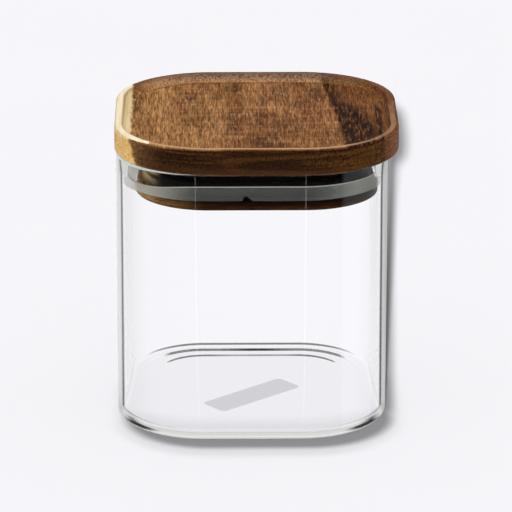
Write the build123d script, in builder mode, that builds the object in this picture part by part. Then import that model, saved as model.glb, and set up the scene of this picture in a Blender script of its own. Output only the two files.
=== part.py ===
"""Square glass storage jar with a one-piece wooden lid, sealed by a soft ring.

Millimetres, +Z up. The origin is on the table, under the centre of the lid.
"""
import os

from build123d import *

os.makedirs("parts", exist_ok=True)

# Driving dimensions of the glass jar
body_half = 50.0  # half the outside width, the same in X and Y
body_corner_radius = 32.0  # outside radius of the upright corners
wall = 2.0
jar_height = 102.4
base_thickness = 2.4
outer_heel_radius = 3.5  # where the outside wall turns under the base
inner_heel_radius = 3.6  # where the inside wall meets the floor
foot_width = 2.6  # the flat ring that the jar stands on
punt_depth = 0.6  # the hollow under the base, inside the foot
punt_slope = 45
mouth_flare = 0.6  # how far the inside opens towards the rim
mouth_flare_height = 6.0
rim_round = 0.6

# Driving dimensions of the lid
plate_half = 52.2
plate_corner_radius = 35.4
plate_thickness = 9.8
plate_top_round = 1.4
plate_bottom_round = 1.2
tray_rim_width = 3.0
tray_depth = 3.0
tray_cove_radius = 4.0  # more than the depth, so the cove runs all the way up to the rim
tray_rim_round = 0.7
plug_half = 45.0
plug_corner_radius = 27.5
plug_depth = 15.5
plug_end_round = 1.6
rim_gap = 0.3  # between the rim of the glass and the plate
lid_play = 1.8  # the soft ring lets the lid sit this far to one side of the jar

# Driving dimensions of the sealing ring
ring_height = 5.6
ring_drop = 5.1  # from the underside of the plate to the top of the ring
groove_depth = 1.6
groove_clearance = 0.1
ring_to_glass = 0.2
ring_edge_round = 0.5
vent_x = -4.1  # a small notch in the ring's lower edge, at the front
vent_width = 2.6
vent_height = 1.8

# Driving dimensions of the blank label under the base
label_length = 39.0
label_width = 12.1
label_corner_radius = 1.8
label_thickness = 0.15
label_angle = 41.5
label_y = -5.5

# Worked-out sizes
plate_z = jar_height + rim_gap
lid_top_z = plate_z + plate_thickness
ring_top_z = plate_z - ring_drop
ring_z = ring_top_z - ring_height
inner_half = body_half - wall
inner_corner_radius = body_corner_radius - wall
foot_inset = outer_heel_radius + foot_width
cove_reach = (tray_cove_radius**2 - (tray_cove_radius - tray_depth) ** 2) ** 0.5
tray_inset = tray_rim_width - (tray_cove_radius - cove_reach)
jar_plane = Plane((-lid_play, 0, 0))


def rounded_square(half, radius, mode=Mode.ADD):
    """Draw a square of this half width, with round corners, in the open sketch."""
    RectangleRounded(2 * half, 2 * half, radius, mode=mode)


# The space inside the jar, from the floor with its rounded heel up to the rim
with BuildPart() as jar_space:
    with BuildSketch(jar_plane.offset(base_thickness)):
        rounded_square(inner_half, inner_corner_radius)
    extrude(amount=jar_height - base_thickness)
    fillet(jar_space.edges().group_by(Axis.Z)[0], inner_heel_radius)

# The glass jar, moulded in one piece and open at the top
with BuildPart() as glass_jar:
    with BuildSketch(jar_plane):
        rounded_square(body_half, body_corner_radius)
    extrude(amount=jar_height)
    fillet(glass_jar.edges().group_by(Axis.Z)[0], outer_heel_radius)
    add(jar_space.part, mode=Mode.SUBTRACT)

    # The mouth opens a little towards the rim, and the rim is fire-polished round
    with BuildSketch(jar_plane.offset(jar_height - mouth_flare_height)):
        rounded_square(inner_half, inner_corner_radius)
    with BuildSketch(jar_plane.offset(jar_height)):
        rounded_square(inner_half + mouth_flare, inner_corner_radius + mouth_flare)
    loft(mode=Mode.SUBTRACT)
    fillet(glass_jar.edges().group_by(Axis.Z)[-1], rim_round)

    # The hollow under the base leaves a narrow foot all round
    with BuildSketch(jar_plane):
        rounded_square(body_half - foot_inset, body_corner_radius - foot_inset)
    extrude(amount=punt_depth, taper=punt_slope, mode=Mode.SUBTRACT)
glass_jar.part.label = "glass_jar"

# The space in the tray-shaped top of the lid, with its cove
with BuildPart() as tray_space:
    with BuildSketch(Plane.XY.offset(lid_top_z - tray_depth)):
        rounded_square(plate_half - tray_inset, plate_corner_radius - tray_inset)
    extrude(amount=tray_cove_radius + 1)
    fillet(tray_space.edges().group_by(Axis.Z)[0], tray_cove_radius)

# The lid: a plate and the plug under it, cut from one piece of wood
with BuildPart() as wood_lid:
    with BuildSketch(Plane.XY.offset(plate_z)):
        rounded_square(plate_half, plate_corner_radius)
    extrude(amount=plate_thickness)
    fillet(wood_lid.edges().group_by(Axis.Z)[0], plate_bottom_round)
    fillet(wood_lid.edges().group_by(Axis.Z)[-1], plate_top_round)
    add(tray_space.part, mode=Mode.SUBTRACT)
    rim_face = wood_lid.faces().sort_by(Axis.Z)[-1]
    fillet(rim_face.inner_wires()[0].edges(), tray_rim_round)

    # The plug that goes into the mouth of the jar
    with BuildSketch(Plane.XY.offset(plate_z)):
        rounded_square(plug_half, plug_corner_radius)
    extrude(amount=-plug_depth)
    fillet(wood_lid.edges().group_by(Axis.Z)[0], plug_end_round)

    # The groove round the plug that holds the ring
    with BuildSketch(Plane.XY.offset(ring_z - groove_clearance)):
        rounded_square(plug_half + 1, plug_corner_radius + 1)
        rounded_square(plug_half - groove_depth, plug_corner_radius - groove_depth, Mode.SUBTRACT)
    extrude(amount=ring_height + 2 * groove_clearance, mode=Mode.SUBTRACT)
wood_lid.part.label = "wood_lid"

# The soft ring: it grips the groove, which is centred on the lid, and fills the mouth of the jar
with BuildPart() as seal_ring:
    with BuildSketch(jar_plane.offset(ring_z)):
        rounded_square(inner_half - ring_to_glass, inner_corner_radius - ring_to_glass)
    extrude(amount=ring_height)
    fillet(seal_ring.edges().group_by(Axis.Z)[0], ring_edge_round)
    fillet(seal_ring.edges().group_by(Axis.Z)[-1], ring_edge_round)
    with BuildSketch(Plane.XY.offset(ring_z)):
        rounded_square(plug_half - groove_depth, plug_corner_radius - groove_depth)
    extrude(amount=ring_height, mode=Mode.SUBTRACT)

    # The vent notch in the lower edge, at the front
    with BuildSketch(Plane.XZ):
        with Locations((vent_x, ring_z)):
            SlotOverall(2 * vent_height, vent_width, rotation=90)
    extrude(amount=body_half, mode=Mode.SUBTRACT)
seal_ring.part.label = "seal_ring"

# The blank paper label, stuck under the base inside the hollow
with BuildPart() as base_label:
    with BuildSketch(jar_plane.offset(punt_depth - label_thickness)):
        with Locations((0, label_y)):
            RectangleRounded(label_length, label_width, label_corner_radius, rotation=label_angle)
    extrude(amount=label_thickness)
base_label.part.label = "base_label"

for piece in (glass_jar, wood_lid, seal_ring, base_label):
    export_step(piece.part, f"parts/{piece.part.label}.step")
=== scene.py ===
"""A square glass storage jar with an oiled acacia lid, standing on a white studio floor."""
import math
from functools import partial

import bmesh
import bpy
import numpy as np
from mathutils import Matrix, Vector


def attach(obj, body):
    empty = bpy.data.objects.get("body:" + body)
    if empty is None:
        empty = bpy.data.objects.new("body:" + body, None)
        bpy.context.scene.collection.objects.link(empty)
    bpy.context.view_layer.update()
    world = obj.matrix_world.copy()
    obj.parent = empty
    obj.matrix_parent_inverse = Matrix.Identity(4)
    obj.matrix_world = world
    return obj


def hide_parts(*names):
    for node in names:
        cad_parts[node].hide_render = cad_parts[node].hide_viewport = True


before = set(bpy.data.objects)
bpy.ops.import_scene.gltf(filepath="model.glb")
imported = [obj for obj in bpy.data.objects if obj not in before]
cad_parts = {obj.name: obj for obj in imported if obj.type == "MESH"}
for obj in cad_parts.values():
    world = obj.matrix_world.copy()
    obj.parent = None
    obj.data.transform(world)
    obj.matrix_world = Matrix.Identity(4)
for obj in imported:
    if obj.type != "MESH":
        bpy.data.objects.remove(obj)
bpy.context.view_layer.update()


# The glass jar is soda-lime glass, moulded in one piece and fire-polished at the rim. Its plan is
# a square with wide round corners, and the wall turns through a rounded heel into a base that
# stands on a narrow foot. Every height of it is the same rounded square, only larger or smaller.
MM = 0.001
BODY_HALF = 50.0
BODY_FLAT = 18.0  # half the straight part of each side
WALL = 2.0
JAR_HEIGHT = 102.4
JAR_X = -1.8  # the lid sits this far to the right of the jar
BASE = 2.4
HEEL = 3.6  # radius where the inner wall meets the floor
OUTER_HEEL = 3.5  # radius where the outer wall meets the foot
RIM_ROUND = (0.6, 0.55)  # at the outer and the inner edge of the rim
FLARE = 0.6  # the mouth opens this much towards the rim, over the height below
FLARE_HEIGHT = 6.0
FLARE_ROUND = 12.0
HOLLOW = 0.6  # depth of the hollow under the base
CORNER_STEPS = 28  # faces round each corner, and along each side
SIDE_STEPS = 6
FOOT_INSIDE = 46.4  # the foot's flat ring runs from here to the outer heel
GLASS_IOR = 1.5
# The colour of the dark lines painted in the glass, and the grey of the shadow of edge-on glass
GLASS_LINE = "#2C312C"
GLASS_SHADE = "#8F9391"
UNEVEN = 25.0  # how far apart the uneven spots of the moulded base are
# How dark the line at the inner skin is, from just inside it to the outer edge of the wall
LINE_PROFILE = (
    (0.0, 0.0),
    (0.1, 0.01),
    (0.227, 0.05),
    (0.307, 0.25),
    (0.39, 0.95),
    (0.46, 0.95),
    (0.534, 0.4),
    (0.616, 0.28),
    (0.753, 0.18),
    (0.894, 0.08),
    (1.0, 0.0),
)


def linear(code):
    """An sRGB hex colour as the linear values that a shader takes."""
    parts = [int(code[i : i + 2], 16) / 255 for i in (1, 3, 5)]
    return [c / 12.92 if c <= 0.04045 else ((c + 0.055) / 1.055) ** 2.4 for c in parts] + [1.0]


SMOOTH = {"interpolation_type": "SMOOTHSTEP"}
TIMES = {"operation": "MULTIPLY"}
COLOUR = {"data_type": "RGBA"}


def add_node(tree, kind, *values, **named):
    """Add a node with its settings and links. A shader node's kind leaves out ShaderNode.

    The values fill its inputs in order, and a name with a capital fills the input of that name. Any
    other name is a setting. A node given as a value stands for its first output.
    """
    made = tree.nodes.new(kind if "Node" in kind else "ShaderNode" + kind)
    inputs = []
    for name, value in named.items():
        if name[0].isupper():
            inputs.append((made.inputs[name.replace("_", " ")], value))
        else:
            setattr(made, name, value)
    inputs += zip([socket for socket in made.inputs if socket.enabled], values)
    for socket, value in inputs:
        if isinstance(value, bpy.types.Node):
            value = next(output for output in value.outputs if output.enabled)
        if isinstance(value, bpy.types.NodeSocket):
            tree.links.new(value, socket)
        else:
            socket.default_value = value
    return made


def new_material(name):
    """An empty material, and the function that adds a node to it."""
    made = bpy.data.materials.new(name)
    made.use_nodes = True
    made.node_tree.nodes.clear()
    return made, partial(add_node, made.node_tree)


def rounded(corners, steps=8):
    """The profile through corners of (half width, height, edge radius), with each edge rounded."""
    out = []
    for i, (half, z, radius) in enumerate(corners):
        here = np.array([half, z], float)
        if not radius:
            out.append(here)
            continue
        toward = [np.array(corners[j][:2], float) - here for j in (i - 1, i + 1)]
        toward = [v / np.linalg.norm(v) for v in toward]
        half_angle = math.acos(np.clip(toward[0] @ toward[1], -1, 1)) / 2
        middle = toward[0] + toward[1]
        centre = here + middle / np.linalg.norm(middle) * radius / math.sin(half_angle)
        ends = [here + v * radius / math.tan(half_angle) - centre for v in toward]
        turn = math.pi - 2 * half_angle
        for t in np.linspace(0, 1, steps + 1):
            mix = math.sin((1 - t) * turn) * ends[0] + math.sin(t * turn) * ends[1]
            out.append(centre + mix / math.sin(turn))
    return out


def sweep_tree():
    """Geometry Nodes that sweep a profile round a square with round corners.

    A profile point holds half the width at its height, half the straight part of a side, and the
    height itself. The last points, marked inside, get the second material.
    """
    tree = bpy.data.node_groups.new("rounded_square_sweep", "GeometryNodeTree")
    face = tree.interface
    face.new_socket("Profile", in_out="INPUT", socket_type="NodeSocketGeometry")
    face.new_socket("Corner Steps", in_out="INPUT", socket_type="NodeSocketInt")
    face.new_socket("Side Steps", in_out="INPUT", socket_type="NodeSocketInt")
    face.new_socket("Outside", in_out="INPUT", socket_type="NodeSocketMaterial")
    face.new_socket("Inside", in_out="INPUT", socket_type="NodeSocketMaterial")
    face.new_socket("Piece", in_out="OUTPUT", socket_type="NodeSocketGeometry")
    given = tree.nodes.new("NodeGroupInput").outputs
    corner, side = given["Corner Steps"], given["Side Steps"]
    add = partial(add_node, tree)

    # Each point of the profile keeps its own sizes, and each point of the path its number
    profile = add("GeometryNodeMeshToCurve", given["Profile"])
    kept = add("GeometryNodeCaptureAttribute", profile, domain="POINT")
    kept.capture_items.new("VECTOR", "Station")
    tree.links.new(add("GeometryNodeInputPosition").outputs[0], kept.inputs[1])
    quarter = add("Math", corner, side, operation="ADD")
    path = add("GeometryNodeCurvePrimitiveCircle", add("Math", quarter, 4.0, **TIMES))
    numbered = add("GeometryNodeCaptureAttribute", path, domain="POINT")
    numbered.capture_items.new("FLOAT", "Number")
    tree.links.new(add("GeometryNodeInputIndex").outputs[0], numbered.inputs[1])
    swept = add("GeometryNodeCurveToMesh", numbered, Profile_Curve=kept)

    # The number says which corner a point is at, how far round it, and how far along the next side
    number = numbered.outputs[1]
    which = add("Math", add("Math", number, 0.5, operation="ADD"), quarter, operation="DIVIDE")
    which = add("Math", which, operation="FLOOR")
    step = add("Math", number, add("Math", which, quarter, **TIMES), operation="SUBTRACT")
    turned = add("Math", add("Math", step, corner, operation="MINIMUM"), corner, operation="DIVIDE")
    angle = add("Math", add("Math", which, turned, operation="ADD"), math.pi / 2, **TIMES)
    along = add("Math", add("Math", step, corner, operation="SUBTRACT"), 0.0, operation="MAXIMUM")
    along = add("Math", along, side, operation="DIVIDE")
    half, flat, height = add("SeparateXYZ", kept.outputs[1]).outputs
    radius = add("Math", half, flat, operation="SUBTRACT")
    place = []
    for shift in (0.0, -math.pi / 2):
        signs = []
        for ahead in (0.5, 1.5):
            facing = add(
                "Math", which, math.pi / 2, ahead * math.pi / 2 + shift, operation="MULTIPLY_ADD"
            )
            signs.append(add("Math", add("Math", facing, operation="COSINE"), operation="SIGN"))
        gap = add("Math", add("Math", signs[1], signs[0], operation="SUBTRACT"), along, **TIMES)
        corner_at = add("Math", add("Math", signs[0], gap, operation="ADD"), flat, **TIMES)
        round_at = add("Math", add("Math", angle, shift, operation="ADD"), operation="COSINE")
        round_at = add("Math", radius, round_at, **TIMES)
        place.append(add("Math", corner_at, round_at, operation="ADD"))
    where = add("CombineXYZ", place[0], place[1], height)
    moved = add("GeometryNodeSetPosition", swept, Position=where)
    real = add("GeometryNodeRealizeInstances", moved)
    outer = add("GeometryNodeSetMaterial", real, Material=given["Outside"])
    marked = add("GeometryNodeInputNamedAttribute", Name="inside", data_type="FLOAT")
    chosen = add("FunctionNodeCompare", marked, 0.99, data_type="FLOAT", operation="GREATER_THAN")
    inner = add("GeometryNodeSetMaterial", outer, Selection=chosen, Material=given["Inside"])
    add("NodeGroupOutput", inner)
    return tree


SWEEP = sweep_tree()


def new_piece(name, mesh):
    """Put a finished mesh in the scene as a smooth piece."""
    made = bpy.data.objects.new(name, mesh)
    bpy.context.scene.collection.objects.link(made)
    mesh.shade_smooth()
    return made


def sweep(name, stations, outside, inside=None, inside_from=None):
    """A closed piece swept from stations of (half width, half straight side, height), in mm."""
    mesh = bpy.data.meshes.new(name)
    count = len(stations)
    points = [tuple(v * MM for v in station) for station in stations]
    mesh.from_pydata(points, [(i, i + 1) for i in range(count - 1)], [])
    marks = mesh.attributes.new("inside", "FLOAT", "POINT")
    for i in range(count):
        marks.data[i].value = float(inside_from is not None and i >= inside_from)
    shaped = bpy.data.objects.new(name, mesh)
    bpy.context.scene.collection.objects.link(shaped)
    nodes = shaped.modifiers.new("sweep", "NODES")
    nodes.node_group = SWEEP
    values = {
        "Corner Steps": CORNER_STEPS,
        "Side Steps": SIDE_STEPS,
        "Outside": outside,
        "Inside": inside or outside,
    }
    for socket in SWEEP.interface.items_tree:
        if socket.name in values:
            nodes[socket.identifier] = values[socket.name]
    graph = bpy.context.evaluated_depsgraph_get()
    final = bpy.data.meshes.new_from_object(shaped.evaluated_get(graph), depsgraph=graph)
    bpy.data.objects.remove(shaped)
    shape = bmesh.new()
    shape.from_mesh(final)
    open_edges = [edge for edge in shape.edges if edge.is_boundary]
    for cap in bmesh.ops.holes_fill(shape, edges=open_edges, sides=0)["faces"]:
        beside = [face for face in cap.edges[0].link_faces if face is not cap]
        cap.material_index = beside[0].material_index
    bmesh.ops.recalc_face_normals(shape, faces=shape.faces)
    shape.to_mesh(final)
    shape.free()
    final.attributes.remove(final.attributes["inside"])
    final.name = name
    return new_piece(name, final)


# Soda-lime glass, moulded: clear and smooth. The grey-green lines where the eye looks along the
# wall or through the ridges of the base are painted on it. The room's reflections are held back,
# as they are by a polarising filter, so what is inside the jar keeps its depth.
def glass_material(name, inside):
    """Clear glass, with dark lines painted on its inner or its outer skin."""
    made, add = new_material(name)
    path = add("LightPath").outputs
    surface = add("NewGeometry").outputs
    place = add("TexCoord").outputs["Object"]
    sideways, depth, height = add("SeparateXYZ", place).outputs
    across, along, up = add("SeparateXYZ", surface["Normal"]).outputs
    fresnel = add("Fresnel", IOR=GLASS_IOR)
    slant = add("LayerWeight", Blend=0.5).outputs["Facing"]
    within = surface["Backfacing"]
    outward = add("Math", 1.0, within, operation="SUBTRACT")
    corner = add("Math", add("Math", across, along, **TIMES), operation="ABSOLUTE")

    full = add(
        "BsdfPrincipled",
        Base_Color=linear("#FFFFFF"),
        Roughness=0.0,
        IOR=GLASS_IOR,
        Transmission_Weight=1.0,
    )
    clear = add("BsdfRefraction", Roughness=0.0, IOR=GLASS_IOR)
    gloss = add("MapRange", fresnel, 0.05, 0.6, **SMOOTH)
    if not inside:
        gloss = add("Math", gloss, outward, operation="MAXIMUM")
    glass = add("MixShader", gloss, clear, full)

    # Light that has turned many times in the heel is painted as a pale grey glow
    lost = add("Math", path["Glossy Depth"], 2.5, operation="GREATER_THAN")
    near_side = add("Math", path["Transmission Depth"], 1.5, operation="LESS_THAN")
    pale = add("Mix", near_side, linear("#EFEFF2"), linear("#D6D9D6"), **COLOUR)
    pale = add("Emission", pale, 1.0)
    glass = add("MixShader", lost, glass, pale)
    straight = add("Math", path["Glossy Depth"], 0.5, operation="LESS_THAN")

    if inside:
        # A painted dark line runs down where the eye just grazes the inner skin, with a grey fringe
        level_up = add("MapRange", height, 0.09, 0.095, 1.0, 0.0, **SMOOTH)
        level_up = add("Math", up, level_up, **TIMES)
        upright = add("CombineXYZ", across, along, level_up)
        upright = add("VectorMath", upright, operation="NORMALIZE")
        graze = add("LayerWeight", Blend=0.5, Normal=upright).outputs["Facing"]
        across_line = add("MapRange", graze, 0.23, 0.3)
        line = add("ValToRGB", across_line)
        stops = line.color_ramp.elements
        for at, _ in LINE_PROFILE[1:-1]:
            stops.new(at)
        for stop, (at, level) in zip(stops, LINE_PROFILE):
            stop.position = at
            stop.color = (level, level, level, 1.0)
        # At the round corners of the heel it is painted as a thicker stroke, and the front has none
        heel_top = (BASE + HEEL) * MM
        heel = add("MapRange", height, heel_top - MM, heel_top, 1.0, 0.0, **SMOOTH)
        fade = add("Math", heel, add("MapRange", corner, 0.1, 0.3, 1.0, 0.0, **SMOOTH), **TIMES)
        dark = line
        for factor in (within, near_side, add("Math", 1.0, fade, operation="SUBTRACT")):
            dark = add("Math", dark, factor, **TIMES)
        stroke = add("MapRange", slant, 0.25, 0.27, **SMOOTH)
        stroke_end = add("MapRange", slant, 0.42, 0.6, 1.0, 0.0, **SMOOTH)
        at_corner = add("MapRange", corner, 0.22, 0.45, 0.0, 0.3, **SMOOTH)
        for factor in (stroke_end, at_corner, heel, within, near_side):
            stroke = add("Math", stroke, factor, **TIMES)
        dark = add("Math", dark, stroke, operation="MAXIMUM")
        # A painted grey haze dims what is behind it a little towards the sides,
        # and more in the thick glass low down
        side_haze = add("MapRange", graze, 0.12, 0.23, 0.0, 0.07, **SMOOTH)
        low_haze = add("MapRange", height, 0.0105, 0.0045, 0.0, 0.15, **SMOOTH)
        for haze in (side_haze, low_haze):
            for factor in (within, near_side, straight):
                haze = add("Math", haze, factor, **TIMES)
            dark = add("Math", dark, haze, operation="MAXIMUM")
        # At the far side a thin painted line runs along the middle of the heel
        slope = add("MapRange", up, 0.76, 0.83, **SMOOTH)
        slope_end = add("MapRange", up, 0.92, 0.975, 1.0, 0.0, **SMOOTH)
        facing_front = add("MapRange", along, -0.26, -0.46, 0.0, 0.8, **SMOOTH)
        far_side = add("Math", 1.0, near_side, operation="SUBTRACT")
        for factor in (slope_end, facing_front, far_side, outward):
            slope = add("Math", slope, factor, **TIMES)
        dark = add("Math", dark, slope, operation="MAXIMUM")
    else:
        # Painted dark lines where the ridges of the far side of the base turn the eye away from the
        # bright floor
        dark = add("Math", fresnel, 0.995, operation="GREATER_THAN")
        far = add("Math", path["Transmission Depth"], 2.5, operation="GREATER_THAN")
        level = add("MapRange", add("Math", up, operation="ABSOLUTE"), 0.986, 0.995, **SMOOTH)
        uneven = add("TexNoise", Vector=place, Scale=1 / (UNEVEN * MM), Detail=1.0)
        uneven = add("MapRange", uneven, 0.35, 0.6, 0.75, 1.0, **SMOOTH)
        sideways = add("Math", sideways, operation="ABSOLUTE")
        line_end = add("MapRange", sideways, 0.033, 0.037, 1.0, 0.0, **SMOOTH)
        middle = add("MapRange", sideways, 0.02, 0.008, 0.0, 0.4, **SMOOTH)
        middle = add("Math", middle, add("MapRange", depth, 0.0395, 0.0385, **SMOOTH), **TIMES)
        middle = add("Math", 1.0, middle, operation="SUBTRACT")
        at_back = add("MapRange", depth, 0.014, 0.024, **SMOOTH)
        for factor in (within, far, level, uneven, line_end, middle, at_back, straight):
            dark = add("Math", dark, factor, **TIMES)
        # Low on the near corners the wall's dark line is painted as a thick stroke
        inset = add("Math", along, operation="ABSOLUTE")
        inset = add("Math", inset, 0.73, slant, operation="MULTIPLY_ADD")
        stroke = add("MapRange", inset, 0.88, 0.94, **SMOOTH)
        stroke_end = add("MapRange", inset, 1.06, 1.14, 1.0, 0.0, **SMOOTH)
        turn = add("Math", across, operation="ABSOLUTE")
        turned = add("MapRange", turn, 0.44, 0.64, 0.0, 0.97, **SMOOTH)
        not_side = add("MapRange", turn, 0.8, 0.92, 1.0, 0.0, **SMOOTH)
        low = add("MapRange", height, 0.0036, 0.0055, 1.0, 0.0, **SMOOTH)
        near = add("Math", path["Transmission Depth"], 0.5, operation="LESS_THAN")
        for factor in (stroke_end, turned, not_side, low, near, outward):
            stroke = add("Math", stroke, factor, **TIMES)
        dark = add("Math", dark, stroke, operation="MAXIMUM")
    shade = add("Emission", linear(GLASS_LINE), 1.0)
    seen = add("MixShader", dark, glass, shade)

    # Lamps shine through the glass, less so where they meet it edge-on
    tint = add("MapRange", slant, 0.15, 0.6, **SMOOTH)
    tint = add("Mix", tint, linear("#FFFFFF"), linear(GLASS_SHADE), **COLOUR)
    through = add("BsdfTransparent", tint)
    either = add("MixShader", path["Is Shadow Ray"], seen, through)
    add("OutputMaterial", either)
    return made


glass_outside = glass_material("moulded_glass_outside", False)
glass_inside = glass_material("moulded_glass_inside", True)


def easy_step(start, end, steps=10):
    """Points of a smooth step from one (half width, height) to another."""
    rise = [(t, t * t * (3 - 2 * t)) for t in np.linspace(0, 1, steps + 1)]
    width, height = end[0] - start[0], end[1] - start[1]
    return [(start[0] + width * t, start[1] + height * share, 0) for t, share in rise]


# The base is hollow underneath, in three soft steps. The outer two show as lines at the far side.
inner_half = BODY_HALF - WALL
outline = rounded(
    [
        (BODY_FLAT, HOLLOW, 0),
        *easy_step((20.0, HOLLOW), (31.5, 0.49), 12),
        *easy_step((34.9, 0.49), (38.3, 0.29)),
        *easy_step((40.6, 0.29), (45.0, 0.035)),
        (FOOT_INSIDE, 0.0, 0),
        (BODY_HALF, 0.0, OUTER_HEEL),
        (BODY_HALF, JAR_HEIGHT, RIM_ROUND[0]),
        (inner_half + FLARE, JAR_HEIGHT, RIM_ROUND[1]),
        (inner_half, JAR_HEIGHT - FLARE_HEIGHT, FLARE_ROUND),
        (inner_half, BASE, HEEL),
        (41.0, BASE, 0),
        (40.0, BASE, 0),
    ]
)
past_rim = ((i, half) for i, (half, z) in enumerate(outline) if z > JAR_HEIGHT - FLARE_HEIGHT)
inside_from = next(i for i, half in past_rim if half < inner_half + FLARE + 0.1)
jar = sweep(
    "jar_body",
    [(half, BODY_FLAT, z) for half, z in outline],
    glass_outside,
    glass_inside,
    inside_from,
)
for vertex in jar.data.vertices:
    vertex.co += Vector((JAR_X, 0.0, 0.0)) * MM
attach(jar, "jar")
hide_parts("glass_jar")


# The label is a plain white paper sticker with round corners, stuck under the base at a slant.
# The flat pale grey that the glass above gives it is painted into its colour.
LABEL = (39.0, 12.1, 1.8)  # length, width and corner radius
LABEL_CORNER_STEPS = 6
LABEL_TURN = 41.5
LABEL_Y = -5.5
LABEL_TOP = 0.58
LABEL_THICK = 0.11
PAPER_GRAIN = 10 / 9  # the mottle of the fibres, drawn coarse enough to show
CORNERS = ((1, 1), (-1, 1), (-1, -1), (1, -1))


def join(shape, lower, upper):
    """Faces between two loops of points."""
    for i in range(len(lower)):
        j = (i + 1) % len(lower)
        shape.faces.new((lower[i], lower[j], upper[j], upper[i]))


def label_mesh():
    """A thin slab with round corners."""
    length, width, radius = LABEL
    points = []
    for k, (sx, sy) in enumerate(CORNERS):
        for t in np.linspace(0, math.pi / 2, LABEL_CORNER_STEPS + 1):
            angle = t + k * math.pi / 2
            x = sx * (length / 2 - radius) + radius * math.cos(angle)
            y = sy * (width / 2 - radius) + radius * math.sin(angle)
            points.append((x, y))
    turn = math.radians(LABEL_TURN)
    turned = [
        (x * math.cos(turn) - y * math.sin(turn), x * math.sin(turn) + y * math.cos(turn))
        for x, y in points
    ]
    shape = bmesh.new()
    rings = []
    for z in (LABEL_TOP - LABEL_THICK, LABEL_TOP):
        ring = [shape.verts.new(((x + JAR_X) * MM, (y + LABEL_Y) * MM, z * MM)) for x, y in turned]
        rings.append(ring)
    shape.faces.new(rings[1])
    shape.faces.new(rings[0][::-1])
    join(shape, *rings)
    mesh = bpy.data.meshes.new("blank_label")
    shape.to_mesh(mesh)
    shape.free()
    return mesh


def paper_material():
    """Uncoated label paper: matt, with a faint mottle of the fibres."""
    made, add = new_material("label_paper")
    place = add("TexCoord").outputs["Object"]
    fibres = add("TexNoise", Vector=place, Scale=1 / (PAPER_GRAIN * MM), Detail=4.0)
    tone = add("Mix", fibres, linear("#CFCFD4"), linear("#D8D8DC"), **COLOUR)
    paper = add("BsdfPrincipled", Base_Color=tone, Roughness=0.8)
    # Through the base it is painted light: it glows in its own tone,
    # as bright as the white floor round it
    bright = add("Emission", tone, 1.0)
    through = add("LightPath").outputs["Is Transmission Ray"]
    seen = add("MixShader", through, paper, bright)
    add("OutputMaterial", seen)
    return made


label = bpy.data.objects.new("blank_label", label_mesh())
bpy.context.scene.collection.objects.link(label)
label.data.materials.append(paper_material())
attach(label, "jar")
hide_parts("base_label")


# The lid is one piece of acacia, cut with a tray in its top and a plug below, and then oiled. The
# grain runs from front to back. A strip of pale sapwood is left along one side, and the ends of
# the grain have drunk the oil and gone nearly black.
PLATE_HALF = 52.2
PLATE_FLAT = 16.8
LID_TOP = 112.5
PLATE_BOTTOM = 102.7
TRAY_FLOOR = 109.5
TRAY_RIM = 49.2
TRAY_RIM_ROUND = 0.7
COVE_RADIUS = 4.0
COVE_HALF = 49.327  # the cove's circle would be upright here, so it slants where it meets the rim
PLATE_ROUND = (1.4, 1.2)  # at the top and the bottom edge
PLUG_HALF = 45.0
PLUG_FLAT = 17.5
PLUG_BOTTOM = 87.2
PLUG_ROUND = 1.6
RING_TOP = 97.6
RING_BOTTOM = 92.0
GROOVE_HALF = 43.4
GROOVE_PLAY = 0.1  # between the ring and the groove, above and below
GROOVE_ROUND = 0.25


def lid_stations():
    """The lid's profile from the middle of the tray, over the rim and down under the plug."""
    cove_middle = np.array([COVE_HALF - COVE_RADIUS, TRAY_FLOOR + COVE_RADIUS])
    steps = np.radians(np.linspace(-90, -24, 12))
    cove = [cove_middle + COVE_RADIUS * np.array([math.cos(a), math.sin(a)]) for a in steps]
    tray = [(40.0, TRAY_FLOOR), (44.0, TRAY_FLOOR)] + cove
    plate = rounded(
        [
            (*cove[-1], 0),
            (TRAY_RIM, LID_TOP, TRAY_RIM_ROUND),
            (PLATE_HALF, LID_TOP, PLATE_ROUND[0]),
            (PLATE_HALF, PLATE_BOTTOM, PLATE_ROUND[1]),
            (PLUG_HALF + 0.6, PLATE_BOTTOM, 0),
        ]
    )[1:]
    plug = rounded(
        [
            (PLUG_HALF + 0.5, PLATE_BOTTOM, 0),
            (PLUG_HALF, PLATE_BOTTOM, 0.3),
            (PLUG_HALF, RING_TOP + GROOVE_PLAY, GROOVE_ROUND),
            (GROOVE_HALF, RING_TOP + GROOVE_PLAY, GROOVE_ROUND),
            (GROOVE_HALF, RING_BOTTOM - GROOVE_PLAY, GROOVE_ROUND),
            (PLUG_HALF, RING_BOTTOM - GROOVE_PLAY, GROOVE_ROUND),
            (PLUG_HALF, PLUG_BOTTOM, PLUG_ROUND),
            (41.0, PLUG_BOTTOM, 0),
            (40.0, PLUG_BOTTOM, 0),
        ],
        steps=5,
    )
    stations = [(half, PLATE_FLAT, z) for half, z in tray + plate]
    return stations + [(half, PLUG_FLAT, z) for half, z in plug]


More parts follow.
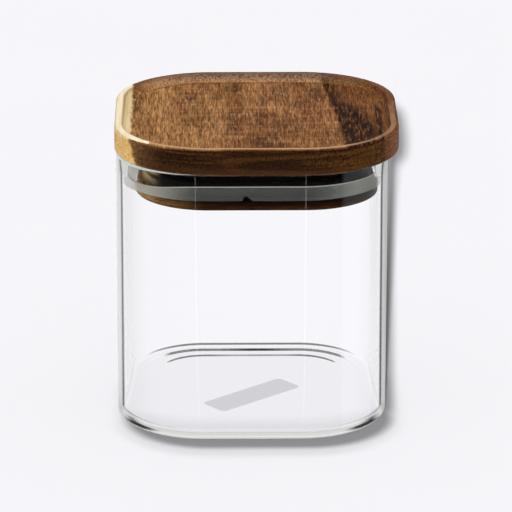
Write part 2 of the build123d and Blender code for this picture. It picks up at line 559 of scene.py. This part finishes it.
# The patterns of the wood: the size of a spot along each axis, in mm, and the noise's detail,
# offset and distortion. The grain runs along Y.
GRAIN = {
    "bands": ((10.0, 140.0, 14.0), 3.0, 3.1, 0.0),
    "cloud": ((14.0, 20.0, 14.0), 4.0, 7.7, 0.0),
    "warmth": ((9.0, 34.0, 9.0), 3.0, 12.3, 0.0),
    "cross": ((26.0, 3.0, 26.0), 2.0, 51.0, 0.0),
    "ragged": ((2.0, 14.0, 3.0), 3.0, 5.5, 0.0),
    "streaks": ((0.8, 8.0, 0.8), 3.0, 31.0, 0.4),
    "fibres": ((0.42, 6.5, 0.42), 4.0, 1.7, 0.2),
    "threads": ((1.1, 13.0, 1.1), 2.0, 61.0, 0.0),
    "pores": ((0.35, 7.0, 0.35), 2.0, 83.0, 0.0),
    "flecks": ((0.5, 5.0, 0.5), 2.0, 23.0, 0.3),
    "grit": ((0.7, 1.6, 0.7), 2.0, 71.0, 0.0),
    "rings": ((34.0, 60.0, 2.2), 3.0, 9.0, 0.8),
    "dots": ((0.42, 9.0, 0.42), 2.0, 41.0, 0.0),
    "wander": ((1.6, 7.0, 2.0), 4.0, 15.0, 0.0),
    "sap": ((1.0, 26.0, 1.2), 3.0, 19.0, 0.0),
    "gold": ((0.7, 8.0, 0.7), 3.0, 21.0, 0.0),
    "layers": ((7.0, 7.0, 0.45), 3.0, 91.0, 0.0),
}


def wood_material():
    """Acacia, sawn and oiled: brown heartwood with fine pores, dark figure and pale sapwood."""
    made, add = new_material("oiled_acacia")
    place = add("TexCoord").outputs["Object"]
    x, y, z = add("SeparateXYZ", place).outputs
    normal = add("NewGeometry").outputs["Normal"]
    lean = add("SeparateXYZ", normal).outputs[1]
    noise = {}
    for name, (sizes, detail, offset, distortion) in GRAIN.items():
        scale = tuple(1 / (size * MM) for size in sizes)
        moved = add("Mapping", place, Location=(offset, offset, offset), Scale=scale)
        noise[name] = add(
            "TexNoise", Vector=moved, Scale=1.0, Detail=detail, Distortion=distortion
        )

    # How far out a point is, as half the width of the rounded square through it
    squares = []
    for way in (x, y):
        past = add("Math", way, operation="ABSOLUTE")
        past = add("Math", past, PLATE_FLAT * MM, operation="SUBTRACT")
        past = add("Math", past, 0.0, operation="MAXIMUM")
        squares.append(add("Math", past, past, **TIMES))
    half = add("Math", add("Math", *squares, operation="ADD"), operation="SQRT")
    half = add("Math", half, PLATE_FLAT * MM, operation="ADD")
    plug = add("MapRange", z, (PLATE_BOTTOM + 0.2) * MM, (PLATE_BOTTOM - 0.2) * MM, **SMOOTH)
    outer = add("MapRange", half, 50.6 * MM, 51.2 * MM, **SMOOTH)
    outer = add("Math", outer, plug, operation="MAXIMUM")
    end_grain = add("MapRange", add("Math", lean, operation="ABSOLUTE"), 0.35, 0.9, **SMOOTH)
    end_grain = add("Math", end_grain, outer, **TIMES)

    # Broad tone of the heartwood, in bands some 10 mm wide that wander along the grain
    tone = add("MapRange", noise["bands"], 0.36, 0.64, **SMOOTH)
    tone = add("Mix", tone, linear("#764A26"), linear("#986A40"), **COLOUR)
    share = add("MapRange", noise["cloud"], 0.44, 0.66, 0.0, 0.7, **SMOOTH)
    tone = add("Mix", share, tone, linear("#4E2E18"), **COLOUR)
    warm = add("MapRange", x, 0.004, -0.04, **SMOOTH)
    warm = add("Math", warm, add("MapRange", noise["warmth"], 0.3, 0.6, **SMOOTH), **TIMES)
    tone = add("Mix", add("Math", warm, 0.55, **TIMES), tone, linear("#B0844E"), **COLOUR)
    share = add("MapRange", noise["cross"], 0.5, 0.7, 0.0, 0.35, **SMOOTH)
    tone = add("Mix", share, tone, linear("#B8875A"), **COLOUR)

    # On the right the heartwood turns red-brown behind a clean edge, with black-brown figure
    edge_x = add("Math", y, -0.075, 0.0291, operation="MULTIPLY_ADD")
    edge_x = add("Math", add("Math", y, y, **TIMES), -0.5, edge_x, operation="MULTIPLY_ADD")
    ragged = add("Math", noise["ragged"], 0.003, -0.0015, operation="MULTIPLY_ADD")
    from_edge = add("Math", add("Math", x, ragged, operation="ADD"), edge_x, operation="SUBTRACT")
    beyond = add("MapRange", from_edge, -0.0002, 0.0016, **SMOOTH)
    tone = add("Mix", add("Math", beyond, 0.85, **TIMES), tone, linear("#7A4C28"), **COLOUR)
    width = add("MapRange", y, 0.028, -0.006, 0.0035, 0.0135, **SMOOTH)
    fading = add("Math", from_edge, width, operation="SUBTRACT")
    fading = add("MapRange", fading, -0.003, 0.005, 1.0, 0.18, **SMOOTH)
    vein = add("Math", add("Math", x, 0.0453, operation="SUBTRACT"), operation="ABSOLUTE")
    vein = add("MapRange", vein, 0.0018, 0.0004, **SMOOTH)
    vein = add("Math", vein, add("MapRange", y, 0.022, 0.008, **SMOOTH), **TIMES)
    figure = add("Math", fading, vein, operation="MAXIMUM")
    streaks = add("MapRange", noise["streaks"], 0.3, 0.54, **SMOOTH)
    figure = add("Math", add("Math", beyond, figure, **TIMES), streaks, **TIMES)
    tone = add("Mix", add("Math", figure, 0.95, **TIMES), tone, linear("#150A04"), **COLOUR)

    # Fibres and pores: short strokes 0.5 mm wide and some 5 mm long, dark and light
    stroke = add("MapRange", noise["fibres"], 0.32, 0.68, **SMOOTH)
    stroke = add("Mix", stroke, (0.5, 0.4, 0.28, 1.0), (1.5, 1.55, 1.7, 1.0), **COLOUR)
    tone = add("Mix", 1.0, tone, stroke, **COLOUR, blend_type="MULTIPLY")
    share = add("MapRange", noise["threads"], 0.3, 0.7, 0.77, 1.15, **SMOOTH)
    tone = add("Mix", 1.0, tone, share, **COLOUR, blend_type="MULTIPLY")
    pores = add("MapRange", noise["pores"], 0.56, 0.66, 0.0, 0.75, **SMOOTH)
    share = add("Math", pores, add("MapRange", noise["cloud"], 0.3, 0.6, **SMOOTH), **TIMES)
    tone = add("Mix", share, tone, linear("#341A0A"), **COLOUR)
    flecks = add("MapRange", noise["flecks"], 0.6, 0.72, 0.0, 0.6, **SMOOTH)
    flecks = add("Math", flecks, add("Math", beyond, -0.6, 1.0, operation="MULTIPLY_ADD"), **TIMES)
    tone = add("Mix", flecks, tone, linear("#CFA67A"), **COLOUR)

    # In the cove at the back the fibres are cut across. Its dark foot is painted shade, and the
    # lighter tan and the grey-purple above it are a painted sheen
    cove = add("Math", 1.0, outer, operation="SUBTRACT")
    cove = add("Math", cove, add("MapRange", y, 0.03, 0.042, **SMOOTH), **TIMES)
    cove = add("Math", cove, add("Math", beyond, -0.65, 1.0, operation="MULTIPLY_ADD"), **TIMES)
    rise = add("Math", lean, -1.0, **TIMES)
    foot = add("MapRange", rise, 0.02, 0.08, **SMOOTH)
    foot = add("Math", foot, add("MapRange", rise, 0.3, 0.15, **SMOOTH), **TIMES)
    grit = add("MapRange", noise["grit"], 0.35, 0.65, **SMOOTH)
    pale = add("Mix", grit, linear("#7E5B3E"), linear("#BC9876"), **COLOUR)
    cove_sheen = add("Mix", grit, linear("#554339"), linear("#88736A"), **COLOUR)
    middle = add("MapRange", rise, 0.2, 0.4, **SMOOTH)
    above = add("MapRange", rise, 0.6, 0.88, **SMOOTH)
    layers = ((foot, 0.55, linear("#45260F")), (middle, 0.6, pale), (above, 0.75, cove_sheen))
    for where, strength, colour in layers:
        share = add("Math", add("Math", cove, where, **TIMES), strength, **TIMES)
        tone = add("Mix", share, tone, colour, **COLOUR)

    # The sanded rim: a painted highlight of light tan in front, and painted shade of brown at the
    # back
    rim = add("MapRange", half, 48.9 * MM, 49.3 * MM, **SMOOTH)
    rim_end = add("MapRange", half, 51.4 * MM, 50.9 * MM, **SMOOTH)
    on_top = add("MapRange", z, 111.9 * MM, 112.3 * MM, **SMOOTH)
    not_right = add("MapRange", x, 0.026, 0.044, 1.0, 0.5, **SMOOTH)
    for factor in (rim_end, on_top, not_right):
        rim = add("Math", rim, factor, **TIMES)
    rim_highlight_and_shade = add("MapRange", y, -0.02, 0.02, **SMOOTH)
    rim_highlight_and_shade = add("Mix", rim_highlight_and_shade, linear("#CFA680"), linear("#6E513F"), **COLOUR)
    tone = add("Mix", add("Math", rim, 0.7, **TIMES), tone, rim_highlight_and_shade, **COLOUR)

    # The ends of the grain, at the front and the back, are nearly black with oil
    ends = add("MapRange", noise["rings"], 0.4, 0.7, **SMOOTH)
    ends = add("Mix", ends, linear("#241308"), linear("#3D250E"), **COLOUR)
    golden = add("MapRange", x, 0.01, 0.035, **SMOOTH)
    golden = add("Math", golden, add("MapRange", noise["rings"], 0.35, 0.6, **SMOOTH), **TIMES)
    ends = add("Mix", add("Math", golden, 0.6, **TIMES), ends, linear("#54350E"), **COLOUR)
    share = add("MapRange", noise["dots"], 0.32, 0.68, 0.35, 1.9, **SMOOTH)
    ends = add("Mix", 1.0, ends, share, **COLOUR, blend_type="MULTIPLY")
    share = add("MapRange", z, 0.1065, 0.103, 0.0, 0.25, **SMOOTH)
    ends = add("Mix", share, ends, linear("#4A3120"), **COLOUR)
    tone = add("Mix", end_grain, tone, ends, **COLOUR)

    # Sapwood: a pale strip along the left side, cream on the rim and golden on the end grain. The
    # cream on top over the duller sapwood of the cove is partly painted light.
    top = add("MapRange", z, 111.9 * MM, 112.35 * MM, **SMOOTH)
    sap_edge = add("Mix", outer, -0.0463, add("Math", z, -0.28, -0.01528, operation="MULTIPLY_ADD"))
    rim_edge = add("Math", y, -0.0947, -0.04302, operation="MULTIPLY_ADD")
    sap_edge = add("Mix", top, sap_edge, rim_edge)
    wander = add("Math", noise["wander"], 0.0024, -0.0012, operation="MULTIPLY_ADD")
    sap_edge = add("Math", sap_edge, wander, operation="ADD")
    sap = add("MapRange", add("Math", sap_edge, x, operation="SUBTRACT"), -0.0007, 0.0006, **SMOOTH)
    grain = add("MapRange", noise["sap"], 0.3, 0.7, **SMOOTH)
    sap_tone = add("Mix", grain, linear("#D6BA88"), linear("#F0D8A8"), **COLOUR)
    cream = add("Mix", grain, linear("#EFDDB6"), linear("#FBEFD2"), **COLOUR)
    sap_tone = add("Mix", top, sap_tone, cream, **COLOUR)
    # A darker line at the rim's inner edge is painted shade, where the cove falls away
    rim_edge_shade = add("MapRange", half, 0.0488, 0.0492, **SMOOTH)
    line_end = add("MapRange", half, 0.0498, 0.0494, 0.0, 0.65, **SMOOTH)
    rim_edge_shade = add("Math", rim_edge_shade, line_end, **TIMES)
    sap_tone = add("Mix", rim_edge_shade, sap_tone, linear("#A67F4C"), **COLOUR)
    gold = add("MapRange", noise["gold"], 0.3, 0.7, **SMOOTH)
    gold = add("Mix", gold, linear("#D6A458"), linear("#F2CC88"), **COLOUR)
    flank = add("Math", outer, add("MapRange", z, 0.1116, 0.1108, **SMOOTH), **TIMES)
    sap_tone = add("Mix", flank, sap_tone, gold, **COLOUR)
    tone = add("Mix", sap, tone, sap_tone, **COLOUR)

    # The plug is painted dark with the shade it stands in under the lid, darkest towards the ring,
    # with paler sapwood at the left
    heart = add("MapRange", z, 0.0905, 0.0875, **SMOOTH)
    heart = add("Mix", heart, linear("#1A0A03"), linear("#37200D"), **COLOUR)
    share = add("MapRange", x, -0.036, -0.018, **SMOOTH)
    heart = add("Mix", share, linear("#6B4C2C"), heart, **COLOUR)
    oiled = add("MapRange", x, -0.044, -0.034, **SMOOTH)
    oiled = add("Mix", oiled, linear("#A88659"), heart, **COLOUR)
    share = add("MapRange", noise["layers"], 0.3, 0.7, 0.45, 1.6, **SMOOTH)
    oiled = add("Mix", 1.0, oiled, share, **COLOUR, blend_type="MULTIPLY")
    share = add("MapRange", noise["dots"], 0.3, 0.7, 0.7, 1.35, **SMOOTH)
    oiled = add("Mix", 1.0, oiled, share, **COLOUR, blend_type="MULTIPLY")
    shadow = add("MapRange", z, 0.0904, 0.0912, **SMOOTH)
    shadow = add("Math", shadow, add("MapRange", x, -0.042, -0.036, **SMOOTH), **TIMES)
    oiled = add("Mix", add("Math", shadow, 0.9, **TIMES), oiled, linear("#080301"), **COLOUR)
    # Between the plate and the ring the plug is painted black with shade, with pale sapwood at the
    # left
    neck = add("MapRange", x, -0.046, -0.03, **SMOOTH)
    neck = add("Mix", neck, linear("#3A2412"), linear("#040201"), **COLOUR)
    tan = add("MapRange", x, -0.0345, -0.042, **SMOOTH)
    tan = add("Math", tan, add("MapRange", z, 0.1022, 0.0985, **SMOOTH), **TIMES)
    neck = add("Mix", tan, neck, linear("#F0D6A8"), **COLOUR)
    share = add("MapRange", z, (RING_BOTTOM + 0.5) * MM, (RING_TOP - 2.5) * MM, **SMOOTH)
    oiled = add("Mix", share, oiled, neck, **COLOUR)
    tone = add("Mix", plug, tone, oiled, **COLOUR)

    rough = add("Math", noise["fibres"], 0.2, 0.42, operation="MULTIPLY_ADD")
    bump = add("Bump", Strength=0.3, Distance=0.0002, Height=noise["fibres"])
    wood = add(
        "BsdfPrincipled", Base_Color=tone, Roughness=rough, Specular_IOR_Level=0.03, Normal=bump
    )
    add("OutputMaterial", wood)
    return made


lid = sweep("lid_board", lid_stations(), wood_material())
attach(lid, "lid")
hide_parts("wood_lid")


# The seal is a ring of clear silicone, moulded, that sits in the groove of the plug. The glass
# squeezes it flat, except at the front left corner, where the lid is pushed away from the glass and
# the lip has curled in. A small vent notch is cut in its lower edge at the front.
SEAL_HALF = 47.8
SEAL_FLAT = 18.0
CURL_IN = 0.6
CURL_DOWN = 2.2
CURL_WIDE = math.radians(45.0)
CURL_TURN = math.radians(222.0)
VENT_X = -4.1
VENT_HALF = 1.3
VENT_HEIGHT = 1.8
VENT_FADE = 3.2  # above this height the notch no longer lifts the ring's face
VENT_FROM = 0.37  # where the notch starts, and how much it takes, as shares of the front side
VENT_SHARE = 0.075
VENT_STEPS = 30
STREAKS = (20.0, 20.0, 5 / 3)  # size of the cloudy streaks in the silicone


def silicone_material():
    """Clear silicone, a little milky, that shows what is behind it, with painted highlights."""
    made, add = new_material("clear_silicone")
    place = add("TexCoord").outputs["Object"]
    x, y = add("SeparateXYZ", place).outputs[:2]
    stretched = add("Mapping", place, Scale=tuple(1 / (size * MM) for size in STREAKS))
    cloudy = add("TexNoise", Vector=stretched, Scale=1.0, Detail=3.0)
    streaks = add("MapRange", cloudy, 0.3, 0.7)
    front = add("Mix", streaks, linear("#494A48"), linear("#5B5C59"), **COLOUR)

    # Painted light: lighter where the ring turns away, and a glow in the lip that has come loose
    facing = add("LayerWeight", Blend=0.5).outputs["Facing"]
    surface = add("NewGeometry").outputs
    up = add("SeparateXYZ", surface["Normal"]).outputs[2]
    turning = add("MapRange", up, -0.4, -0.05, 0.0, 1.0)
    turning = add("MapRange", facing, 0.04, 0.36, To_Max=turning)
    tone = add("Mix", turning, front, linear("#B4B7AC"), **COLOUR)
    loose = add("MapRange", x, -0.02, -0.042, 0.0, 0.3, **SMOOTH)
    flat = add("MapRange", up, 0.72, 0.84, 1.0, 0.0)
    thick = add("MapRange", flat, To_Min=0.04, To_Max=0.6)

    # Along the sides of the jar the eye looks down the length of the ring, and it is duller
    side = add("Math", x, operation="ABSOLUTE")
    side = add("MapRange", side, 0.0424, 0.0437)
    thick = add("MapRange", side, To_Min=thick, To_Max=0.8)
    thick = add("MapRange", surface["Backfacing"], To_Min=thick, To_Max=0.0)
    whole = add("Math", flat, side, operation="MAXIMUM")
    glow = add("Math", loose, whole, **TIMES)
    silicone = add(
        "BsdfPrincipled",
        Base_Color=tone,
        Roughness=0.35,
        IOR=1.41,
        Specular_IOR_Level=0.3,
        Alpha=thick,
        Emission_Color=linear("#D2CFC2"),
        Emission_Strength=glow,
    )
    # A painted highlight along the ring's rounded top edge
    edge = add("MapRange", up, 0.15, 0.4, 0.0, 0.8)
    edge = add("Math", edge, flat, **TIMES)
    front_side = add("Math", 1.0, surface["Backfacing"], operation="SUBTRACT")
    edge = add("Math", edge, front_side, **TIMES)
    lip = add("BsdfDiffuse", Color=linear("#C6C2B4"))
    both = add("MixShader", edge, silicone, lip)

    # Inside the vent notch a painted shade makes it dark
    scale = (1 / (VENT_HALF * MM), 0.0, 1 / (VENT_HEIGHT * MM))
    middle = (-VENT_X / VENT_HALF, 0.0, -RING_BOTTOM / VENT_HEIGHT)
    notch = add("Mapping", place, Location=middle, Scale=scale)
    notch = add("VectorMath", notch, operation="LENGTH")
    notch = add("MapRange", notch, 0.95, 1.15, 1.0, 0.0)
    ahead = add("Math", y, 0.0, operation="LESS_THAN")
    notch = add("Math", notch, ahead, **TIMES)
    shade = add("BsdfDiffuse", Color=linear("#15100C"))
    both = add("MixShader", notch, both, shade)
    add("OutputMaterial", both)
    return made


def seal_mesh():
    """The ring's section swept between the groove, which follows the lid, and the glass."""
    section = rounded(
        [
            (GROOVE_HALF + 0.05, RING_BOTTOM, 0),
            (GROOVE_HALF + 0.15, RING_BOTTOM, 0),
            (SEAL_HALF - 0.7, RING_BOTTOM, 0),
            (SEAL_HALF, RING_BOTTOM, 0.5),
            (SEAL_HALF, RING_BOTTOM + 0.8, 0),
            (SEAL_HALF, RING_BOTTOM + 2.4, 0),
            (SEAL_HALF, RING_TOP - 0.8, 0),
            (SEAL_HALF, RING_TOP, 0.5),
            (SEAL_HALF - 0.7, RING_TOP, 0),
            (GROOVE_HALF + 0.15, RING_TOP, 0),
            (GROOVE_HALF + 0.05, RING_TOP, 0),
        ],
        steps=4,
    )
    around = []
    for k, start in enumerate(CORNERS):
        for turn in np.linspace(0, 1, CORNER_STEPS + 1):
            around.append((start, (k + turn) * math.pi / 2))
        after = CORNERS[(k + 1) % 4]
        shares = set(np.linspace(0, 1, 2 * SIDE_STEPS + 1)[1:-1])
        if k == 2:  # the front side, with more points where the notch is cut
            shares |= set(VENT_FROM + VENT_SHARE * np.linspace(0, 1, VENT_STEPS + 1))
        for share in sorted(shares):
            sign = [start[i] + (after[i] - start[i]) * share for i in (0, 1)]
            around.append((sign, (k + 1) * math.pi / 2))
    shape = bmesh.new()
    loops = []
    for half, height in section:
        reach = (half - GROOVE_HALF) / (SEAL_HALF - GROOVE_HALF)
        loop = []
        for sign, angle in around:
            off_curl = abs(angle - CURL_TURN) / CURL_WIDE
            curl = math.cos(min(off_curl, 1.0) * math.pi / 2) ** 2
            outside_half = half - CURL_IN * curl * reach
            way = (math.cos(angle), math.sin(angle))
            outside = [sign[i] * SEAL_FLAT + (outside_half - SEAL_FLAT) * way[i] for i in (0, 1)]
            outside[0] += JAR_X
            inside = [sign[i] * PLUG_FLAT + (half - PLUG_FLAT) * way[i] for i in (0, 1)]
            x, y = [inside[i] + (outside[i] - inside[i]) * reach for i in (0, 1)]
            low = CURL_DOWN * curl * reach / (RING_TOP - RING_BOTTOM)
            z = RING_BOTTOM + (height - RING_BOTTOM) * (1 - low)
            aside = abs(x - VENT_X) / VENT_HALF
            if y < 0 and aside < 1:
                cut = VENT_HEIGHT * math.sqrt(1 - aside**2)
                z += cut * max(0.0, 1 - (z - RING_BOTTOM) / VENT_FADE)
            loop.append(shape.verts.new((x * MM, y * MM, z * MM)))
        loops.append(loop)
    for loop, after in zip(loops, loops[1:] + loops[:1]):
        join(shape, loop, after)
    bmesh.ops.recalc_face_normals(shape, faces=shape.faces)
    mesh = bpy.data.meshes.new("seal_silicone")
    shape.to_mesh(mesh)
    shape.free()
    return mesh


seal = new_piece("seal_silicone", seal_mesh())
seal.data.materials.append(silicone_material())
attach(seal, "lid")
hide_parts("seal_ring")


# The studio: a floor of plain white paper, in a white room. Where the glass mirrors the paper,
# reflections of the rest of the studio are painted on the paper.
PAPER = 0.44  # how much light the paper gives back
FLOOR_HALF = 4.0  # in metres
MOTTLE = 500 / 3  # size of the faint cloudiness of the paper
# Reflections painted on the paper for the front of the glass to mirror: where each is seen from,
# its direction and half width in degrees to the right of the camera, and its strength
MIRRORED = (
    (-19.8, -50.0, -10.0, 0.7, 1.6),
    (16.2, -50.0, 6.4, 0.7, 1.6),
    (31.2, -46.0, 88.0, 32.0, 0.6),
    (-45.0, -28.0, -118.0, 11.0, 0.55),
    (41.4, -28.0, 118.0, 11.0, 0.6),
)


def floor_material():
    """White studio paper, matt and a little cloudy, with painted shade and painted reflections."""
    made, add = new_material("studio_paper")
    place = add("TexCoord").outputs["Object"]
    x, y = add("SeparateXYZ", place).outputs[:2]

    def around_jar(middle_x, middle_y, near, far, at_near, at_far):
        """A value that changes from near to far, in mm out from a rounded square like the jar's."""
        beyond = []
        for way, middle in ((x, middle_x), (y, middle_y)):
            way = add("Math", way, middle * MM, operation="SUBTRACT")
            way = add("Math", way, operation="ABSOLUTE")
            way = add("Math", way, BODY_FLAT * MM, operation="SUBTRACT", use_clamp=True)
            beyond.append(add("Math", way, 2.0, operation="POWER"))
        apart = add("Math", *beyond, operation="ADD")
        apart = add("Math", apart, 0.5, operation="POWER")
        return add("MapRange", apart, near * MM, far * MM, at_near, at_far, **SMOOTH)

    mottle = add("TexNoise", Vector=place, Scale=1 / (MOTTLE * MM))
    tone = add("Mix", mottle, linear("#F4F4F8"), linear("#F6F5F9"), **COLOUR)
    path = add("LightPath").outputs
    through = add("Math", path["Is Singular Ray"], path["Is Transmission Ray"], operation="MAXIMUM")
    direct = add("Math", path["Diffuse Depth"], 0.5, operation="LESS_THAN")
    through = add("Math", through, direct, **TIMES)

    # Under the jar a painted shade makes the paper a little greyer
    beneath = around_jar(JAR_X, 0.0, 24.0, 33.0, 1.0, 0.0)
    dull = add("Mix", beneath, tone, linear("#ECECF0"), **COLOUR)
    bright = add("Emission", dull, 1.06)

    # The paper's own lamps are stronger than the jar's, and its colour is lower to match. Close to
    # the foot, on the side away from the lamps, the jar's shade is painted on it.
    shade = around_jar(JAR_X + 2.8, -7.3, 28.2, 34.6, PAPER * 0.37, PAPER)
    # A soft painted shade lies along the right side too, outside the sharper shadow that runs back
    right = add("Math", y, -0.042, x, operation="MULTIPLY_ADD")
    left = add("Math", y, -0.0594, x, operation="MULTIPLY_ADD")
    wedge = 1.0
    for way, start, end in ((right, 54.9, 48.9), (left, 45.6, 48.0), (y, -42.0, -12.0)):
        wedge = add("MapRange", way, start * MM, end * MM, To_Max=wedge, **SMOOTH)
    wedge = add("MapRange", wedge, To_Min=PAPER, To_Max=PAPER * 0.34)
    shade = add("Math", shade, wedge, operation="MINIMUM")
    grey = add("Mix", 1.0, tone, shade, **COLOUR, blend_type="MULTIPLY")
    paper = add("BsdfDiffuse", Color=grey)
    seen = add("MixShader", through, paper, bright)

    # Painted reflections: in front of the jar the studio is dark, and only narrow lamps and side
    # panels are mirrored, but the paper close to the foot is bright
    toward = add("Math", -BODY_HALF * MM, y, operation="SUBTRACT")
    around = add("Math", x, toward, operation="ARCTAN2")
    around = add("Math", around, operation="ABSOLUTE")
    side = add("MapRange", x, -0.1, 0.1, 1.0, 0.35)
    glow = add("MapRange", around, 1.75, 2.4, To_Max=side)
    for at_x, at_y, centre, reach, level in MIRRORED:
        east = add("Math", x, at_x * MM, operation="SUBTRACT")
        south = add("Math", y, -1.0, at_y * MM, operation="MULTIPLY_ADD")
        turn = add("Math", east, south, operation="ARCTAN2")
        off = add("Math", turn, math.radians(centre), operation="SUBTRACT")
        off = add("Math", off, operation="ABSOLUTE")
        edge = math.radians(reach)
        lamp = add("MapRange", off, edge * 0.9, edge * 1.1, level, 0.0)
        glow = add("Math", glow, lamp, operation="MAXIMUM")
    # Mirrored from high above, it is painted as the bright paper itself
    steep = add("LayerWeight", Blend=0.5).outputs["Facing"]
    steep = add("MapRange", steep, 0.45, 0.25)
    glow = add("Math", glow, steep, operation="MAXIMUM")
    mirrored = add("Emission", linear("#FFFFFF"), glow)
    first = add("Math", path["Transmission Depth"], 0.5, operation="LESS_THAN")
    for kind in ("Is Singular Ray", "Is Glossy Ray"):
        first = add("Math", first, path[kind], **TIMES)
    seen = add("MixShader", first, seen, mirrored)
    add("OutputMaterial", seen)
    return made


floor_mesh = bpy.data.meshes.new("studio_floor")
floor_corners = [(x * FLOOR_HALF, y * FLOOR_HALF, 0.0) for x, y in CORNERS]
floor_mesh.from_pydata(floor_corners, [], [(0, 1, 2, 3)])
floor_mesh.materials.append(floor_material())
floor = bpy.data.objects.new("studio_floor", floor_mesh)
bpy.context.scene.collection.objects.link(floor)


# Two lamps light the jar, and two light only the paper, where they throw its shadow to the right
# and towards the front.
paper_only = bpy.data.collections.new("paper_only")
paper_only.objects.link(floor)
not_paper = bpy.data.collections.new("not_paper")
not_paper.objects.link(floor)
not_paper.collection_objects[0].light_linking.link_state = "EXCLUDE"


def sun(name, share, elevation, azimuth, spread, lit):
    """A far lamp that gives a level sheet this share of its light. Azimuth 0 is the camera's."""
    lamp = bpy.data.lights.new(name, "SUN")
    lamp.energy = math.pi * share / math.sin(math.radians(elevation))
    lamp.angle = math.radians(spread)
    placed = bpy.data.objects.new(name, lamp)
    placed.rotation_euler = (math.radians(90 - elevation), 0.0, math.radians(azimuth))
    placed.visible_glossy = False
    placed.visible_transmission = False
    placed.light_linking.receiver_collection = lit
    bpy.context.scene.collection.objects.link(placed)


sun("overhead_softbox", 0.42, 78.0, 150.0, 22.0, not_paper)
sun("front_softbox", 0.2, 24.0, -3.0, 3.0, not_paper)
sun("paper_front", 1.55, 17.3, -3.4, 1.1, paper_only)
sun("paper_overhead", 0.38, 83.6, -178.0, 4.0, paper_only)

# The room is white to the eye, and gives only part of that as light
FILL = 0.38
world = bpy.data.worlds.new("white_room")
world.use_nodes = True
world.node_tree.nodes.clear()
add = partial(add_node, world.node_tree)
path = add("LightPath").outputs
seen = path["Is Camera Ray"]
for kind in ("Is Singular Ray", "Is Transmission Ray"):
    seen = add("Math", seen, path[kind], operation="MAXIMUM")
direct = add("Math", path["Diffuse Depth"], 0.5, operation="LESS_THAN")
seen = add("Math", seen, direct, **TIMES)
lit = add("Background", linear("#FFFFFF"), FILL)
white = add("Background", linear("#F7F6FB"), 1.0)
both = add("MixShader", seen, lit, white)
add("OutputWorld", both)
bpy.context.scene.world = world
bpy.context.scene.view_settings.view_transform = "Standard"

# The camera stands well back and looks down a little, and it is turned a touch off square.
SENSOR = 36.0
IMAGE_WIDTH = 512
FOCAL_PIXELS = 3903.55
ELEVATION = math.radians(18.4064)
TURN = math.radians(0.6)
AIM = Vector((-0.04, 0.0, 55.2))
DISTANCE = 1464.23
lens = bpy.data.cameras.new("camera")
lens.sensor_width = SENSOR
lens.lens = SENSOR * FOCAL_PIXELS / IMAGE_WIDTH
lens.clip_end = 20.0
camera = bpy.data.objects.new("camera", lens)
ahead = Vector(
    (
        math.sin(TURN) * math.cos(ELEVATION),
        math.cos(TURN) * math.cos(ELEVATION),
        -math.sin(ELEVATION),
    )
)
camera.location = (AIM - DISTANCE * ahead) * MM
camera.rotation_euler = (math.pi / 2 - ELEVATION, 0.0, -TURN)
bpy.context.scene.collection.objects.link(camera)
bpy.context.scene.camera = camera
